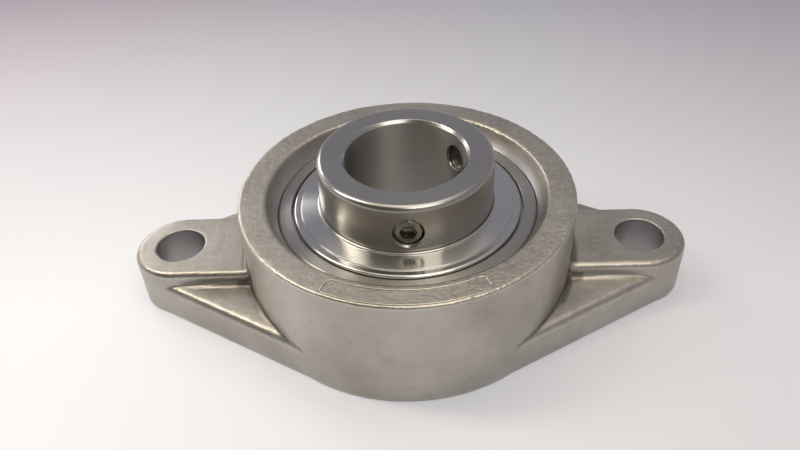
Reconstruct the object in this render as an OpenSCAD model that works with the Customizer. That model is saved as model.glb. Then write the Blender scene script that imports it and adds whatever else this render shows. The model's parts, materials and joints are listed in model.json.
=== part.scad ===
// Two-bolt flange bearing: a self-aligning ball bearing insert in an oval cast housing.
// Sizes are in millimetres. The bolt holes lie along X, the shaft runs along Z,
// and the mounting face is the plane z = 0.

/* [Flange] */
// Distance between the two bolt holes
bolt_spacing = 130; // [120:1:150]
// Diameter of each bolt hole
bolt_hole_diameter = 13.5; // [9:0.5:15]
// Wall of the ear around each bolt hole
ear_wall = 5.85; // [4:0.05:9]
// Height of the bolt pads above the mounting face
pad_height = 15; // [12:0.5:20]
// Drop from the top of a pad to the web beside it
pad_step = 4; // [2:0.5:6]
// Rounding along the top edge of the pads
pad_rounding = 1.2; // [0.5:0.1:2]
// Step from the sides of the hub and the ears in to the sides of the webs
web_step = 0.2; // [0.1:0.1:1]
// Rounding along the outer edge of the webs
web_rounding = 2; // [0.5:0.1:3]
// Fillet at the foot of the pads, on the webs
pad_fillet = 0.9; // [0.5:0.1:2]

/* [Hub] */
// Wall of the hub outside the bearing seat
hub_wall = 9; // [7:0.5:12]
// Rounding of the outer edge of the rim
rim_rounding = 1; // [0.3:0.1:2]
// Fillet at the foot of the hub, on the webs and the pads
hub_fillet = 1.5; // [1:0.1:4]
// Height of the bevel that leads into the seat
lead_height = 2; // [0.5:0.1:4]
// Radial widening along that bevel
lead_flare = 1.8; // [0.5:0.1:2.5]
// Height of the mouth from the bevel up to the rim
mouth_height = 3; // [1:0.1:6]
// Radial widening of the mouth from the bevel up to the rim
mouth_flare = 1.1; // [0.5:0.1:2.5]
// Radial widening of the back recess from the seat to the mounting face
back_flare = 1.2; // [0.5:0.1:2]
// Depth of the edge of the seat below the face of the insert
seat_drop = 0.5; // [0.2:0.1:1.5]
// Running clearance between the seat and the insert
seat_clearance = 0.05; // [0.02:0.01:0.1]
// Clearance of the filling slots around the insert
slot_clearance = 0.6; // [0.3:0.1:1]

/* [Insert] */
// Diameter of the spherical outside of the insert
insert_diameter = 72; // [68:0.5:85]
// Wall of the outer ring behind its ball track
outer_ring_wall = 3.7; // [3:0.1:5]
// Diameter of the shaft bore
bore_diameter = 31.75; // [25:0.05:35]
// Length of the inner ring in front of the balls
inner_ring_front = 25.4; // [22:0.1:30]
// Length of the inner ring behind the balls
inner_ring_back = 17.5; // [15:0.1:22]
// Gap between the inner ring and the plane of the mounting face
back_gap = 1.5; // [0.5:0.1:4]
// Chamfer at both ends of the shaft bore
bore_chamfer = 0.8; // [0.3:0.1:1.5]
// Rounding around both ends of the inner ring
ring_rounding = 1.5; // [0.3:0.1:2]
// Chamfer around both faces of the outer ring
face_chamfer = 0.35; // [0.2:0.05:0.6]
// Depth of the ball tracks below the ring shoulders
track_depth = 2; // [1.5:0.1:2.5]
// Clearance between the balls and the tracks
track_clearance = 0.1; // [0.05:0.01:0.15]
// Width of the grease groove around the outer ring
grease_groove_width = 2; // [1.4:0.1:2.6]
// Depth of the grease groove around the outer ring
grease_groove_depth = 0.6; // [0.3:0.1:1]
// Diameter of the grease holes through the outer ring
grease_hole_diameter = 1.2; // [0.6:0.1:1.3]
// Angle between the two grease holes
grease_hole_spread = 120; // [90:1:180]

/* [Balls and cage] */
// Diameter of one ball
ball_diameter = 11.112; // [9.5:0.001:12]
// Number of balls
ball_count = 9; // [7:1:9]
// Thickness of the cage sheet
cage_sheet = 1; // [0.6:0.1:1.2]
// Width of the cage ribbon across the ball circle
cage_width = 4.4; // [3.5:0.1:5]
// Clearance between a ball and its cage pocket
pocket_clearance = 0.15; // [0.1:0.01:0.25]
// Diameter of the cage rivets
rivet_diameter = 1.6; // [1:0.1:2]
// Diameter of the rivet heads
rivet_head_diameter = 2.6; // [2.2:0.1:3]
// Height of the rivet heads
rivet_head_height = 0.6; // [0.3:0.1:1]

/* [Seals and flingers] */
// Air gap between the cage and a seal
seal_air_gap = 0.5; // [0.3:0.1:1]
// Step from the outer ring's shoulder out to the seal seat
seal_step = 1; // [0.6:0.1:1.2]
// Thickness of the seal shield's sheet
shield_sheet = 0.8; // [0.5:0.1:1]
// Height of the turned-up edge of the seal shield
shield_edge = 0.4; // [0.2:0.1:0.8]
// Depth of the seal shield below the face of the insert
seal_setback = 2; // [1.6:0.1:3]
// Width of the rubber lip inside the seal shield
lip_width = 2; // [1.5:0.1:3]
// Height of the rubber lip above the seal shield
lip_rise = 0.3; // [0.1:0.1:0.5]
// Width of the land at the tip of the rubber lip
lip_land = 0.6; // [0.3:0.1:1]
// Running clearance between the rubber lip and the inner ring
lip_clearance = 0.05; // [0.02:0.01:0.1]
// Thickness of the flinger's sheet
flinger_sheet = 0.8; // [0.5:0.1:1]
// Height of the flinger's dish beside its lip, above the face of the insert
flinger_rise = 1.5; // [1.4:0.1:1.8]
// Fall of the flinger's dish from its lip to its step
flinger_dish = 0.8; // [0.2:0.1:0.9]
// Drop from the flinger's dish to its rim
flinger_step = 0.3; // [0.2:0.1:0.4]
// Height of the flinger's turned-up lip, beside the inner ring
flinger_lip = 0.4; // [0.4:0.1:0.9]
// Width of the flinger's rim
flinger_rim_width = 2.2; // [1.6:0.1:2.8]
// Gap between the flinger's edge and the outer ring
flinger_edge_gap = 0.57; // [0.4:0.01:0.8]
// Running gap between a seal and its flinger
flinger_gap = 0.6; // [0.4:0.1:0.8]

/* [Set screws] */
// Diameter of the set screws
screw_diameter = 7.7; // [5:0.1:9]
// Distance of the set screws from the front end of the inner ring
screw_from_end = 7.9; // [6:0.1:9]
// Direction of the first set screw around the shaft
screw_angle = -88.6; // [-180:0.1:180]
// Angle from the first set screw to the second
screw_spread = 120; // [60:1:180]
// Depth of a screw's outer end below the inner ring's surface
screw_recess = 0.3; // [0.1:0.1:1]
// Distance of a screw's tip from the shaft bore
screw_tip_gap = 1; // [0.3:0.1:1.5]
// Width across the flats of the hex socket
socket_width = 4; // [2.5:0.1:4.5]
// Depth of the hex socket
socket_depth = 3; // [2:0.1:3.5]
// Chamfer at both ends of a screw
screw_chamfer = 0.6; // [0.3:0.1:1]

/* [Grease nipple] */
// Diameter of the nipple's thread
nipple_thread_diameter = 6; // [5:0.5:8]
// Length of the nipple's thread
nipple_thread_length = 5; // [4:0.5:6]
// Width across the flats of the nipple's hexagon
nipple_hex_width = 7; // [7:0.5:9]
// Height of the nipple's hexagon
nipple_hex_height = 3; // [2:0.5:4]
// Diameter of the nipple's neck
nipple_neck_diameter = 4.6; // [4:0.1:5]
// Length of the nipple's neck
nipple_neck_length = 2.2; // [1:0.1:3]
// Diameter of the nipple's head
nipple_head_diameter = 6.5; // [6:0.1:7]
// Length of the nipple's head
nipple_head_length = 4; // [3.5:0.1:5]
// Diameter of the nipple's tip
nipple_tip_diameter = 3.6; // [3.4:0.1:4]
// Diameter of the check ball in the nipple
check_ball_diameter = 2.2; // [1.8:0.1:2.4]
// Depth of the flat spot under the nipple
spot_depth = 0.6; // [0.4:0.1:1]

/* [Hidden] */
$fn = 96;
// Clearance between pieces that are pressed, screwed or bonded together
fit_clearance = 0.02;
// Clearance around the set screws, which travel in their holes
thread_clearance = 0.1;
// Length by which a cut runs past the surface it opens
cut_over = 1;
// Flat left between a fillet and the rounded edge beside it
edge_flat = 0.4;

// Radii of the insert
insert_r = insert_diameter / 2;
ball_r = ball_diameter / 2;
pitch_r = insert_r - outer_ring_wall - ball_r;
track_r = ball_r + track_clearance;
outer_shoulder_r = pitch_r + ball_r - track_depth;
inner_ring_r = pitch_r - ball_r + track_depth;
seal_seat_r = outer_shoulder_r + seal_step;
bore_r = bore_diameter / 2;

// Heights inside the insert, measured from the plane of the balls
pocket_r = ball_r + pocket_clearance;
cage_half_height = pocket_r + cage_sheet;
seal_low = cage_half_height + seal_air_gap;
seal_top = seal_low + shield_sheet;
ring_half = seal_top + seal_setback;
track_half = sqrt(pow(track_r, 2) - pow(outer_shoulder_r - pitch_r, 2));
grease_offset = (track_half + seal_low) / 2;
flinger_top = ring_half + flinger_rise;
flinger_dish_end = flinger_top - flinger_dish;
flinger_rim_top = flinger_dish_end - flinger_step;
flinger_skirt_end = seal_top + shield_edge + flinger_gap;
flinger_collar_end = seal_top + lip_rise + flinger_gap;

// Radii of the seals, the flingers and the cage
shield_r = seal_seat_r - fit_clearance;
lip_r = inner_ring_r + lip_clearance;
shield_bore_r = lip_r + lip_width;
flinger_bore_r = inner_ring_r + fit_clearance;
flinger_r = seal_seat_r - flinger_edge_gap;
flinger_step_r = flinger_r - flinger_rim_width;
cage_inner_r = pitch_r - cage_width / 2;
cage_outer_r = pitch_r + cage_width / 2;
rivet_hole_diameter = rivet_diameter + 2 * fit_clearance;

// Housing
ball_height = back_gap + inner_ring_back;
seat_r = insert_r + seat_clearance;
seat_half = ring_half - seat_drop;
seat_edge_r = sqrt(pow(seat_r, 2) - pow(seat_half, 2));
hub_r = insert_r + hub_wall;
hub_height = ball_height + seat_half + lead_height + mouth_height;
lead_slope = lead_flare / lead_height;
mouth_slope = mouth_flare / mouth_height;
back_slope = back_flare / (ball_height - seat_half);
slot_r = seat_r + slot_clearance;
slot_width = 2 * (ring_half + slot_clearance);
ear_r = bolt_hole_diameter / 2 + ear_wall;
bolt_offset = bolt_spacing / 2;
web_height = pad_height - pad_step;
tangent_angle = acos((hub_r - ear_r) / bolt_offset);
web_reach = hub_r - web_step;
web_edge_length = bolt_offset * sin(tangent_angle);
web_edge_width = 2 * web_rounding;
pad_fillet_reach = ear_r + pad_fillet + edge_flat + web_rounding;
pad_fillet_length = (web_reach - pad_fillet_reach * sin(tangent_angle)) / cos(tangent_angle);

// Set screws
screw_height = ball_height + inner_ring_front - screw_from_end;
screw_r = screw_diameter / 2;
screw_hole_diameter = screw_diameter + 2 * thread_clearance;
screw_out_r = sqrt(pow(inner_ring_r, 2) - pow(screw_hole_diameter / 2, 2)) - screw_recess;
screw_tip_r = bore_r + screw_tip_gap;
screw_length = screw_out_r - screw_tip_r;

// Grease nipple
grease_height = ball_height + grease_offset;
nipple_seat = hub_r - spot_depth;
nipple_hex_diameter = nipple_hex_width / cos(30);
nipple_head_start = nipple_hex_height + nipple_neck_length;
nipple_tip = nipple_head_start + nipple_head_length;
nipple_head_taper = (nipple_head_diameter - nipple_neck_diameter) / 2;
check_chamber_diameter = check_ball_diameter + 2 * fit_clearance;
check_mouth_diameter = check_ball_diameter / 2;
check_ball_place = nipple_tip - check_ball_diameter;
nipple_channel_diameter = check_ball_diameter / 2;

ball_names = [for (i = [1:ball_count]) str("ball_", i)];

// Section from the axis out to a width, with its outer top corner rounded
module rounded_section(width, height, rounding) {
    square([width - rounding, height]);
    square([width, height - rounding]);
    translate([width - rounding, height - rounding])
        circle(rounding);
}

// Section that fills the corner between a wall and a floor, and is sunk into both
module fillet_section(radius) {
    difference() {
        translate([-radius, -radius])
            square(2 * radius);
        translate([radius, radius])
            circle(radius);
    }
}

// Section of a ring between two radii and two heights
module band(inner, outer, low, high) {
    translate([inner, low])
        square([outer - inner, high - low]);
}

// Puts a piece at the plane of the balls, facing the front or turned to the back
module on_side(front) {
    translate([0, 0, ball_height])
        mirror([0, 0, front ? 0 : 1])
            children();
}

// Puts a piece at one place of a ring of balls or rivets
module at_pitch(place) {
    rotate(360 * place / ball_count)
        translate([pitch_r, 0, 0])
            children();
}

// Puts a piece on the grease line, with its own z pointing out of the hub
module on_grease_line(distance) {
    translate([0, distance, grease_height])
        rotate([-90, 0, 0])
            children();
}

// Puts a piece on a set screw's line, with its own z pointing away from the shaft
module on_screw_line(angle, distance) {
    rotate(angle)
        translate([distance, 0, screw_height])
            rotate([0, 90, 0])
                children();
}

module hub() {
    rotate_extrude()
        rounded_section(hub_r, hub_height, rim_rounding);
}

// A corner of the flange carried over to another quarter of it
function turned(corner, right, back) = [right * corner[0], back * corner[1]];

// Outline of the webs, set in from their outer edges
module web_outline(inset) {
    inner_hub_r = web_reach - inset;
    inner_ear_r = ear_r - web_step - inset;
    along = cos(tangent_angle);
    across = sin(tangent_angle);
    ear_corner = [bolt_offset + inner_ear_r * along, inner_ear_r * across];
    hub_corner = [inner_hub_r * along, inner_hub_r * across];
    polygon([
        ear_corner,
        hub_corner,
        turned(hub_corner, -1, 1),
        turned(ear_corner, -1, 1),
        turned(ear_corner, -1, -1),
        turned(hub_corner, -1, -1),
        turned(hub_corner, 1, -1),
        turned(ear_corner, 1, -1)
    ]);
}

// Rounded outer edge of one web, running from the hub's side to the ear's
module web_edge() {
    rotate([90, 0, tangent_angle])
        translate([web_reach - web_edge_width, 0, 0])
            linear_extrude(web_edge_length)
                rounded_section(web_edge_width, web_height, web_rounding);
}

// Fillet between one side of a pad and the web beside it
module pad_foot() {
    rotate([90, 0, 90])
        linear_extrude(pad_fillet_length)
            translate([ear_r, web_height])
                fillet_section(pad_fillet);
}

module webs() {
    linear_extrude(web_height)
        web_outline(web_rounding);
    for (left = [0, 1], front = [0, 1])
        mirror([left, 0, 0])
            mirror([0, front, 0]) {
                web_edge();
                pad_foot();
            }
}

// Fillets between the hub and the webs, and between the hub and the pads
module hub_foot() {
    pad_flat = ear_r - pad_rounding - edge_flat;
    intersection() {
        rotate_extrude()
            translate([hub_r, web_height])
                fillet_section(hub_fillet);
        linear_extrude(hub_height)
            web_outline(web_rounding + edge_flat);
    }
    intersection() {
        rotate_extrude()
            translate([hub_r, pad_height])
                fillet_section(hub_fillet);
        translate([-bolt_offset, -pad_flat, 0])
            cube([bolt_spacing, 2 * pad_flat, hub_height]);
    }
}

// Raised pads that run from the hub out to the bolt holes, with round ends
module pads() {
    for (end = [-1, 1])
        translate([end * bolt_offset, 0, 0])
            rotate_extrude()
                rounded_section(ear_r, pad_height, pad_rounding);
    translate([-bolt_offset, 0, 0])
        rotate([90, 0, 90])
            linear_extrude(bolt_spacing)
                for (side = [0, 1])
                    mirror([side, 0])
                        rounded_section(ear_r, pad_height, pad_rounding);
}

// Spherical seat, the bevel and the flared mouth in front of it, and the recess behind it
module bearing_seat() {
    mouth_edge = ball_height + seat_half;
    back_edge = ball_height - seat_half;
    mouth_end = hub_height + cut_over;
    lead_edge_r = seat_edge_r + lead_flare;
    rotate_extrude()
        intersection() {
            union() {
                translate([0, ball_height])
                    circle(seat_r);
                polygon([
                    [0, mouth_edge - cut_over],
                    [seat_edge_r - lead_slope * cut_over, mouth_edge - cut_over],
                    [lead_edge_r, mouth_edge + lead_height],
                    [lead_edge_r + mouth_slope * (mouth_height + cut_over), mouth_end],
                    [0, mouth_end]
                ]);
                polygon([
                    [0, -cut_over],
                    [seat_edge_r + back_slope * (back_edge + cut_over), -cut_over],
                    [seat_edge_r - back_slope * cut_over, back_edge + cut_over],
                    [0, back_edge + cut_over]
                ]);
            }
            band(0, hub_r, -cut_over, mouth_end);
        }
}

// Two slots in the back, through which the insert goes in sideways before it is turned
module filling_slots() {
    intersection() {
        translate([-hub_r, -slot_width / 2, -cut_over])
            cube([2 * hub_r, slot_width, ball_height + cut_over]);
        translate([0, 0, -cut_over])
            cylinder(r = slot_r, h = ball_height + cut_over);
    }
}

module bolt_holes() {
    for (end = [-1, 1])
        translate([end * bolt_offset, 0, -cut_over])
            cylinder(d = bolt_hole_diameter, h = pad_height + 2 * cut_over);
}

// Grease hole into the seat, with a tapped mouth and a flat spot for the nipple
module grease_passage() {
    tapped_start = nipple_seat - nipple_thread_length - fit_clearance;
    on_grease_line(0)
        cylinder(d = grease_groove_width, h = hub_r);
    on_grease_line(tapped_start)
        cylinder(d = nipple_thread_diameter + 2 * fit_clearance, h = hub_r - tapped_start);
    on_grease_line(nipple_seat)
        cylinder(d = nipple_hex_diameter + 2 * cut_over, h = spot_depth + cut_over);
}

module housing() {
    color("gainsboro")
        difference() {
            union() {
                hub();
                webs();
                pads();
                hub_foot();
            }
            bearing_seat();
            filling_slots();
            bolt_holes();
            grease_passage();
        }
}

module grease_nipple() {
    color("silver")
        on_grease_line(nipple_seat)
            difference() {
                union() {
                    cylinder(d = nipple_hex_diameter, h = nipple_hex_height, $fn = 6);
                    rotate_extrude()
                        polygon([
                            [0, -nipple_thread_length],
                            [nipple_thread_diameter / 2, -nipple_thread_length],
                            [nipple_thread_diameter / 2, 0],
                            [nipple_neck_diameter / 2, 0],
                            [nipple_neck_diameter / 2, nipple_head_start],
                            [nipple_head_diameter / 2, nipple_head_start + nipple_head_taper],
                            [nipple_head_diameter / 2, nipple_head_start + 2 * nipple_head_taper],
                            [nipple_tip_diameter / 2, nipple_tip],
                            [0, nipple_tip]
                        ]);
                }
                translate([0, 0, -nipple_thread_length - cut_over])
                    cylinder(d = nipple_channel_diameter, h = nipple_thread_length + nipple_hex_height);
                cylinder(d = check_chamber_diameter, h = check_ball_place + check_ball_diameter / 2);
                translate([0, 0, check_ball_place])
                    cylinder(d = check_mouth_diameter, h = nipple_tip);
            }
}

module nipple_check_ball() {
    color("dimgray")
        on_grease_line(nipple_seat + check_ball_place)
            sphere(d = check_ball_diameter);
}

// Section of the outer ring's body: a slice of a ball with chamfered faces
module outer_ring_body_section() {
    flat_r = sqrt(pow(insert_r, 2) - pow(ring_half, 2)) - face_chamfer;
    intersection() {
        circle(insert_r);
        polygon([
            [0, -ring_half],
            [flat_r, -ring_half],
            [flat_r + ring_half, 0],
            [flat_r, ring_half],
            [0, ring_half]
        ]);
    }
}

// Outer ring: ball track and seal seats inside, grease groove and grease holes outside
module outer_ring() {
    groove_r = sqrt(pow(insert_r, 2) - pow(grease_offset, 2)) - grease_groove_depth;
    groove_low = grease_offset - grease_groove_width / 2;
    groove_high = grease_offset + grease_groove_width / 2;
    color("silver")
        translate([0, 0, ball_height])
            difference() {
                rotate_extrude()
                    difference() {
                        outer_ring_body_section();
                        band(0, outer_shoulder_r, -ring_half - cut_over, ring_half + cut_over);
                        translate([pitch_r, 0])
                            circle(track_r);
                        for (back = [0, 1])
                            mirror([0, back])
                                band(0, seal_seat_r, seal_low, ring_half + cut_over);
                        band(groove_r, insert_r, groove_low, groove_high);
                    }
                for (turn = [0, grease_hole_spread])
                    rotate(turn)
                        translate([0, 0, grease_offset])
                            rotate([-90, 0, 0])
                                cylinder(d = grease_hole_diameter, h = insert_r);
            }
}

// Section of the shaft bore, which widens to a chamfer at both ends of the inner ring
module bore_section() {
    mouth_r = bore_r + bore_chamfer + cut_over;
    polygon([
        [0, -inner_ring_back - cut_over],
        [mouth_r, -inner_ring_back - cut_over],
        [bore_r, bore_chamfer - inner_ring_back],
        [bore_r, inner_ring_front - bore_chamfer],
        [mouth_r, inner_ring_front + cut_over],
        [0, inner_ring_front + cut_over]
    ]);
}

// Inner ring: shaft bore and ball track, rounded corners and two screw holes
module inner_ring() {
    color("lightgray")
        difference() {
            translate([0, 0, ball_height])
                rotate_extrude()
                    difference() {
                        union() {
                            rounded_section(inner_ring_r, inner_ring_front, ring_rounding);
                            mirror([0, 1])
                                rounded_section(inner_ring_r, inner_ring_back, ring_rounding);
                        }
                        bore_section();
                        translate([pitch_r, 0])
                            circle(track_r);
                    }
            for (turn = [0, screw_spread])
                on_screw_line(screw_angle + turn, 0)
                    cylinder(d = screw_hole_diameter, h = inner_ring_r + cut_over);
        }
}

module ball(place) {
    color("whitesmoke")
        translate([0, 0, ball_height])
            at_pitch(place)
                sphere(ball_r);
}

// One half of the riveted cage: a flat ribbon with a round pocket pressed over each ball
module cage_ribbon(front) {
    color("darkgray")
        on_side(front)
            difference() {
                intersection() {
                    union() {
                        cylinder(r = cage_outer_r, h = cage_sheet);
                        for (place = [0:ball_count - 1])
                            at_pitch(place)
                                sphere(cage_half_height);
                    }
                    rotate_extrude()
                        band(cage_inner_r, cage_outer_r, 0, cage_half_height + cut_over);
                }
                for (place = [0:ball_count - 1]) {
                    at_pitch(place)
                        sphere(pocket_r);
                    at_pitch(place + 1 / 2)
                        translate([0, 0, -cut_over])
                            cylinder(d = rivet_hole_diameter, h = cage_sheet + 2 * cut_over);
                }
            }
}

// Rivets between the pockets, with a low dome at each end
module cage_rivets() {
    head_r = rivet_head_diameter / 2;
    dome_r = (pow(head_r, 2) + pow(rivet_head_height, 2)) / (2 * rivet_head_height);
    color("gray")
        translate([0, 0, ball_height])
            for (place = [0:ball_count - 1])
                at_pitch(place + 1 / 2) {
                    translate([0, 0, -cage_sheet])
                        cylinder(d = rivet_diameter, h = 2 * cage_sheet);
                    for (front = [0, 1])
                        mirror([0, 0, front])
                            translate([0, 0, cage_sheet])
                                rotate_extrude()
                                    intersection() {
                                        translate([0, rivet_head_height - dome_r])
                                            circle(dome_r);
                                        band(0, head_r, 0, rivet_head_height);
                                    }
                }
}

// Pressed steel shield on the step of the seal seat, with its outer edge turned up
module seal_shield(front) {
    color("slategray")
        on_side(front)
            rotate_extrude() {
                band(shield_bore_r, shield_r, seal_low, seal_top);
                band(shield_r - shield_sheet, shield_r, seal_low, seal_top + shield_edge);
            }
}

// Rubber lip on the inner edge of the shield, leaning up to the inner ring
module seal_lip(front) {
    color("saddlebrown")
        on_side(front)
            rotate_extrude()
                polygon([
                    [lip_r + lip_land, seal_low],
                    [shield_bore_r, seal_low],
                    [shield_bore_r, seal_top],
                    [lip_r + lip_land, seal_top + lip_rise],
                    [lip_r, seal_top + lip_rise],
                    [lip_r, seal_top]
                ]);
}

// Dished steel ring pressed on the inner ring, with a turned-up lip, a lower rim and a turned-down edge
module flinger(front) {
    dish_end_low = flinger_dish_end - flinger_sheet;
    rim_low = flinger_rim_top - flinger_sheet;
    lip_crest = flinger_top + flinger_lip - flinger_sheet / 2;
    color("gainsboro")
        on_side(front)
            rotate_extrude() {
                band(flinger_bore_r, flinger_bore_r + flinger_sheet, flinger_collar_end, lip_crest);
                translate([flinger_bore_r + flinger_sheet / 2, lip_crest])
                    circle(flinger_sheet / 2);
                polygon([
                    [flinger_bore_r, flinger_top - flinger_sheet],
                    [flinger_step_r - flinger_sheet, dish_end_low],
                    [flinger_step_r - flinger_sheet, flinger_dish_end],
                    [flinger_bore_r, flinger_top]
                ]);
                translate([flinger_step_r - flinger_sheet, dish_end_low])
                    intersection() {
                        circle(flinger_sheet);
                        square(flinger_sheet);
                    }
                band(flinger_step_r - flinger_sheet, flinger_step_r, rim_low, dish_end_low);
                band(flinger_step_r, flinger_r - flinger_sheet, rim_low, flinger_rim_top);
                translate([flinger_r - flinger_sheet, rim_low])
                    intersection() {
                        circle(flinger_sheet);
                        square(flinger_sheet);
                    }
                band(flinger_r - flinger_sheet, flinger_r, flinger_skirt_end, rim_low);
            }
}

module set_screw(angle) {
    color("dimgray")
        on_screw_line(angle, screw_tip_r)
            difference() {
                rotate_extrude()
                    polygon([
                        [0, 0],
                        [screw_r - screw_chamfer, 0],
                        [screw_r, screw_chamfer],
                        [screw_r, screw_length - screw_chamfer],
                        [screw_r - screw_chamfer, screw_length],
                        [0, screw_length]
                    ]);
                translate([0, 0, screw_length - socket_depth])
                    cylinder(d = socket_width / cos(30), h = socket_depth + cut_over, $fn = 6);
            }
}

housing();
grease_nipple();
nipple_check_ball();
outer_ring();
inner_ring();
for (i = [1:ball_count])
    ball(i - 1);
cage_ribbon(true);  // cage_upper
cage_ribbon(false);  // cage_lower
cage_rivets();
seal_shield(true);  // upper_seal_shield
seal_lip(true);  // upper_seal_lip
seal_shield(false);  // lower_seal_shield
seal_lip(false);  // lower_seal_lip
flinger(true);  // upper_flinger
flinger(false);  // lower_flinger
set_screw(screw_angle);  // set_screw_front
set_screw(screw_angle + screw_spread);  // set_screw_side
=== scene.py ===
# %% [markdown]
# # A two-bolt flange bearing
# The part is a ball bearing insert that sits in an oval stainless casting with two bolt ears. The packed
# model already holds every piece at its real size, so this lesson starts by loading it as a fixed frame.
# What is made below goes round that frame: a piece is either a finish on one of the frame's solids, or a
# finer mesh that takes a solid's place and moves with the same body.

# %% Load the frame
import json
import math

import bpy
import numpy as np
from mathutils import Matrix, Vector, noise


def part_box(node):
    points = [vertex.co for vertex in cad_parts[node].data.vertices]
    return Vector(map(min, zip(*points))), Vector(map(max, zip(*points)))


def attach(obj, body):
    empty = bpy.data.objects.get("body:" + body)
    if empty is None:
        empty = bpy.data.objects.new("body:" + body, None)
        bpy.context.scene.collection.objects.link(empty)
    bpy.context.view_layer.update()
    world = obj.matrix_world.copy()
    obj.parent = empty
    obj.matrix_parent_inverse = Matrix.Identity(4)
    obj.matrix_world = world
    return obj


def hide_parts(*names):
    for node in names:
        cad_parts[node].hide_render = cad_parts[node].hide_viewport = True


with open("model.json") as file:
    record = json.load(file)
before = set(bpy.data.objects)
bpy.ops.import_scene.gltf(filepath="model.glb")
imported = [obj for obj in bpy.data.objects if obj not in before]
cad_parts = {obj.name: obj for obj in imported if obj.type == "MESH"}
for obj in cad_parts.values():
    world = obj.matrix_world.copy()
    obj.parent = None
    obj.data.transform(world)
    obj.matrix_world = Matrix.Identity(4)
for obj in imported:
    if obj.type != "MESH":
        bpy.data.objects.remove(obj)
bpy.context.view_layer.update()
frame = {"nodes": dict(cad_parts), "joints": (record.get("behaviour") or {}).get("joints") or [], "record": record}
nodes = frame["nodes"]
record = frame["record"]
print("solids in the frame:", len(nodes))

# %% [markdown]
# ## Sizes
# Blender works in metres, and a machinist thinks in millimetres, so all the sizes here are in millimetres
# and are scaled once, when a mesh is made. Whatever the frame can tell is read from its mounts and from
# the boxes around its solids, so that the meshes can't drift away from the solids.

# %% Read the main sizes
MM = 0.001


def box_mm(node):
    """Lowest and highest corner of a solid, in millimetres, to the nearest hundredth."""
    low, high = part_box(node)
    return np.round(np.array(low) / MM, 2), np.round(np.array(high) / MM, 2)


mounts = {mount["name"]: mount["dims"] for mount in record["mounts"]}
bolt_offset = mounts["bolt_holes"]["spacing_x_mm"] / 2
bolt_hole_r = mounts["bolt_holes"]["hole_r_mm"]
bore_r = mounts["shaft_bore"]["r_mm"]

housing_low, housing_high = box_mm("housing")
hub_r = -housing_low[1]
hub_height = housing_high[2]
ear_r = housing_high[0] - bolt_offset

outer_low, outer_high = box_mm("outer_ring")
insert_r = outer_high[0]
ring_half = (outer_high[2] - outer_low[2]) / 2
ball_height = (outer_high[2] + outer_low[2]) / 2

inner_low, inner_high = box_mm("inner_ring")
inner_ring_r = inner_high[0]
ball_low, ball_high = box_mm("ball_1")
ball_r = (ball_high[2] - ball_low[2]) / 2
pitch_r = ball_high[0] - ball_r
print("hub radius", hub_r, "hub height", hub_height, "ear radius", ear_r, "ball height", ball_height)

# %% [markdown]
# ## Camera
# The part is seen from the front and from well above, with a short lens close by, so the far rim looks
# smaller than the near one. The camera is placed by its azimuth, elevation and roll about a point on the
# shaft axis. Its three axes go straight into a matrix, which needs no tracking constraint.

# %% Aim the camera
camera_azimuth = math.radians(1.441)
camera_elevation = math.radians(39.415)
camera_roll = math.radians(-2.296)
camera_distance = 208.471
camera_target = Vector((0, 0, 20))

camera_back = Vector((math.sin(camera_azimuth) * math.cos(camera_elevation),
                      -math.cos(camera_azimuth) * math.cos(camera_elevation),
                      math.sin(camera_elevation)))
level_right = Vector((math.cos(camera_azimuth), math.sin(camera_azimuth), 0))
level_up = camera_back.cross(level_right)
camera_right = math.cos(camera_roll) * level_right + math.sin(camera_roll) * level_up
camera_up = math.cos(camera_roll) * level_up - math.sin(camera_roll) * level_right
print("the camera lies along", [round(c, 3) for c in camera_back], "from the part")

# %% [markdown]
# The lens is given by its focal length in pixels of an image 800 wide, which Blender takes in millimetres
# of its sensor. A small shift stands for an image that was not cut quite around the middle of the lens.

# %% Set the lens
image_width = 800
sensor_width = 36.0
focal_pixels = 746.859
centre_offset = (8.216, 0.997)
nearest_seen = 5

lens = bpy.data.cameras.new("close_camera")
lens.sensor_width = sensor_width
lens.lens = focal_pixels * sensor_width / image_width
lens.shift_x = -centre_offset[0] / image_width
lens.shift_y = centre_offset[1] / image_width
lens.clip_start = nearest_seen * MM
camera = bpy.data.objects.new("close_camera", lens)
bpy.context.scene.collection.objects.link(camera)
camera_matrix = Matrix((camera_right, camera_up, camera_back)).transposed().to_4x4()
camera_matrix.translation = (camera_target + camera_back * camera_distance) * MM
camera.matrix_world = camera_matrix
bpy.context.scene.camera = camera
bpy.context.scene.view_settings.view_transform = "Standard"
camera_place = [round(c / MM, 1) for c in camera.matrix_world.translation]
print("camera at", camera_place, "mm, with a lens of", round(lens.lens, 2), "mm")

# %% [markdown]
# ## Node helpers
# Every finish below is a small node tree, which could be drawn by hand in the shader editor. Written down,
# it can be read and repeated. The helpers here keep that short: two of them add a node and fill its
# sockets with values or links, and one starts a material.

# %% Add and fill nodes
def fill(tree, node, inputs):
    """Fills a node's sockets, by name or number, with a value or with a link from another socket."""
    for socket, value in inputs.items():
        if isinstance(value, bpy.types.NodeSocket):
            tree.links.new(value, node.inputs[socket])
        else:
            node.inputs[socket].default_value = value


def add_node(tree, kind, inputs=None, **settings):
    """Adds a node of a kind, sets its options and fills its sockets."""
    node = tree.nodes.new(kind)
    for key, value in settings.items():
        setattr(node, key, value)
    fill(tree, node, inputs or {})
    return node


def new_finish(name):
    """A new material, with its node tree and its shader."""
    finish = bpy.data.materials.new(name)
    finish.use_nodes = True
    return finish, finish.node_tree, finish.node_tree.nodes["Principled BSDF"]


print("nodes can be added and filled")

# %% [markdown]
# The other helpers are the steps that almost every finish takes: the place on the piece, a noise over
# places, a value carried to another range, two values joined, two colours mixed, and a bump.

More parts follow.
